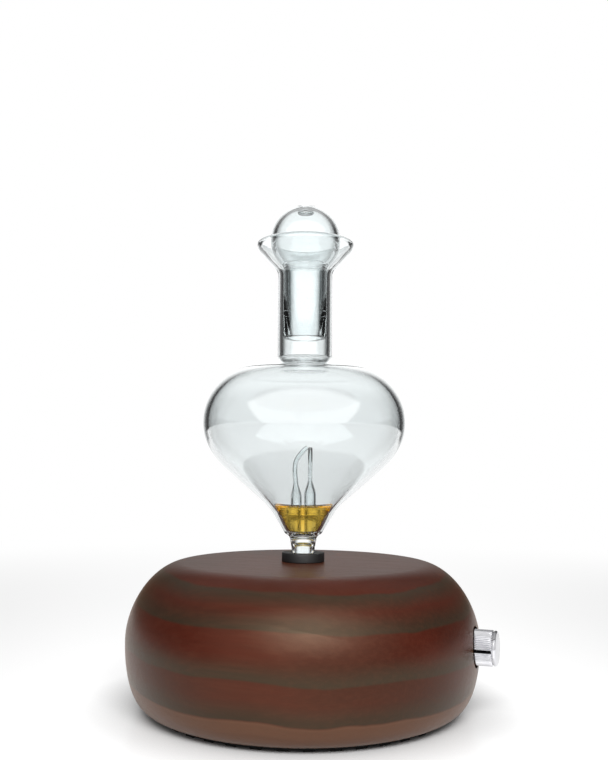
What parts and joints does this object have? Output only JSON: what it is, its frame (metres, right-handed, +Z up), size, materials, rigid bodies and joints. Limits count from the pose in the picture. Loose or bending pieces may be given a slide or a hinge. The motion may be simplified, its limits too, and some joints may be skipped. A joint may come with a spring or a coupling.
{
  "type": "essential oil diffuser",
  "caption": "Nebulising essential oil diffuser: turned wooden base with an air pump and speed knob, lift-off glass reservoir with inner nozzle tubes, and a ball-shaped glass stopper.",
  "frame": {"origin": "on the surface the base stands on, under the axis of the base and the glass", "axes": "+X out through the control knob, +Y out through the power inlet at the back, +Z up along the axis of the glass"},
  "size_m": [0.168, 0.1599, 0.231],
  "materials": {
    "wood": "satin lacquer on dark turned hardwood",
    "base_plate": "matt",
    "foot_rubber": "matt",
    "screw_steel": "plain",
    "collar_plastic": "matt",
    "seal_rubber": "matt",
    "brass_fittings": "plain",
    "hose_silicone": "translucent silicone",
    "motor_steel": "zinc plated",
    "white_plastic": "plain",
    "ferrite": "dark sintered",
    "copper": "enamelled copper",
    "pump_plastic": "moulded",
    "diaphragm_rubber": "matt",
    "strap_steel": "spring steel",
    "filter_felt": "felt",
    "board": "solder mask",
    "chip_plastic": "moulded",
    "capacitor_cans": "sleeved",
    "control_case": "plain",
    "knob_chrome": "polished, straight knurl",
    "set_screw_steel": "blackened",
    "jack_plastic": "moulded",
    "wire_insulation": "coloured",
    "clear_glass": "clear blown glass",
    "amber_oil": "clear amber liquid"
  },
  "bodies": {
    "base": {"wood_shell": "wood", "base_plate": "base_plate", "foot_ring": "foot_rubber", "base_screws": "screw_steel", "socket_collar": "collar_plastic", "socket_seal": "seal_rubber", "socket_nut": "brass_fittings", "hose_barb": "brass_fittings", "air_hose": "hose_silicone", "motor_can": "motor_steel", "motor_end_cap": "white_plastic", "motor_magnets": "ferrite", "motor_terminals": "brass_fittings", "pump_housing": "pump_plastic", "wobble_plate": "white_plastic", "diaphragm": "diaphragm_rubber", "valve_plate": "white_plastic", "check_valve": "diaphragm_rubber", "head_cover": "pump_plastic", "pump_screws": "screw_steel", "pump_sleeve": "diaphragm_rubber", "pump_cradle": "pump_plastic", "pump_strap": "strap_steel", "strap_screws": "screw_steel", "intake_filter": "filter_felt", "control_board": "board", "board_standoffs": "brass_fittings", "board_screws": "screw_steel", "board_chips": "chip_plastic", "board_capacitors": "capacitor_cans", "board_connectors": "white_plastic", "control_body": "control_case", "control_terminals": "brass_fittings", "control_nut": "strap_steel", "power_jack": "jack_plastic", "power_jack_pin": "strap_steel", "power_jack_nut": "strap_steel", "power_jack_terminals": "brass_fittings", "motor_wires": "wire_insulation", "control_wires": "wire_insulation", "power_wires": "wire_insulation"},
    "rotor": {"motor_shaft": "motor_steel", "motor_armature": "motor_steel", "armature_windings": "copper", "commutator": "copper", "eccentric_cam": "white_plastic", "crank_pin": "motor_steel"},
    "knob": {"control_shaft": "strap_steel", "control_knob": "knob_chrome", "knob_set_screw": "set_screw_steel"},
    "reservoir": {"reservoir_bowl": "clear_glass", "reservoir_bulb": "clear_glass", "reservoir_neck": "clear_glass", "air_jet_tube": "clear_glass", "oil_siphon_tube": "clear_glass", "essential_oil": "amber_oil"},
    "stopper": {"glass_stopper": "clear_glass"}
  },
  "joints": [
    {"name": "pump_spin", "type": "hinge", "parent": "base", "child": "rotor", "pos_m": [-0.02, -0.019, 0.025], "axis": [1, 0, 0], "continuous": true},
    {"name": "knob_turn", "type": "hinge", "parent": "base", "child": "knob", "pos_m": [0.075, 0, 0.0315], "axis": [-1, 0, 0], "range_deg": [0, 280]},
    {"name": "reservoir_lift", "type": "slide", "parent": "base", "child": "reservoir", "axis": [0, 0, 1], "range_m": [0, 0.03]},
    {"name": "stopper_lift", "type": "slide", "parent": "reservoir", "child": "stopper", "axis": [0, 0, 1], "range_m": [0, 0.055]}
  ]
}
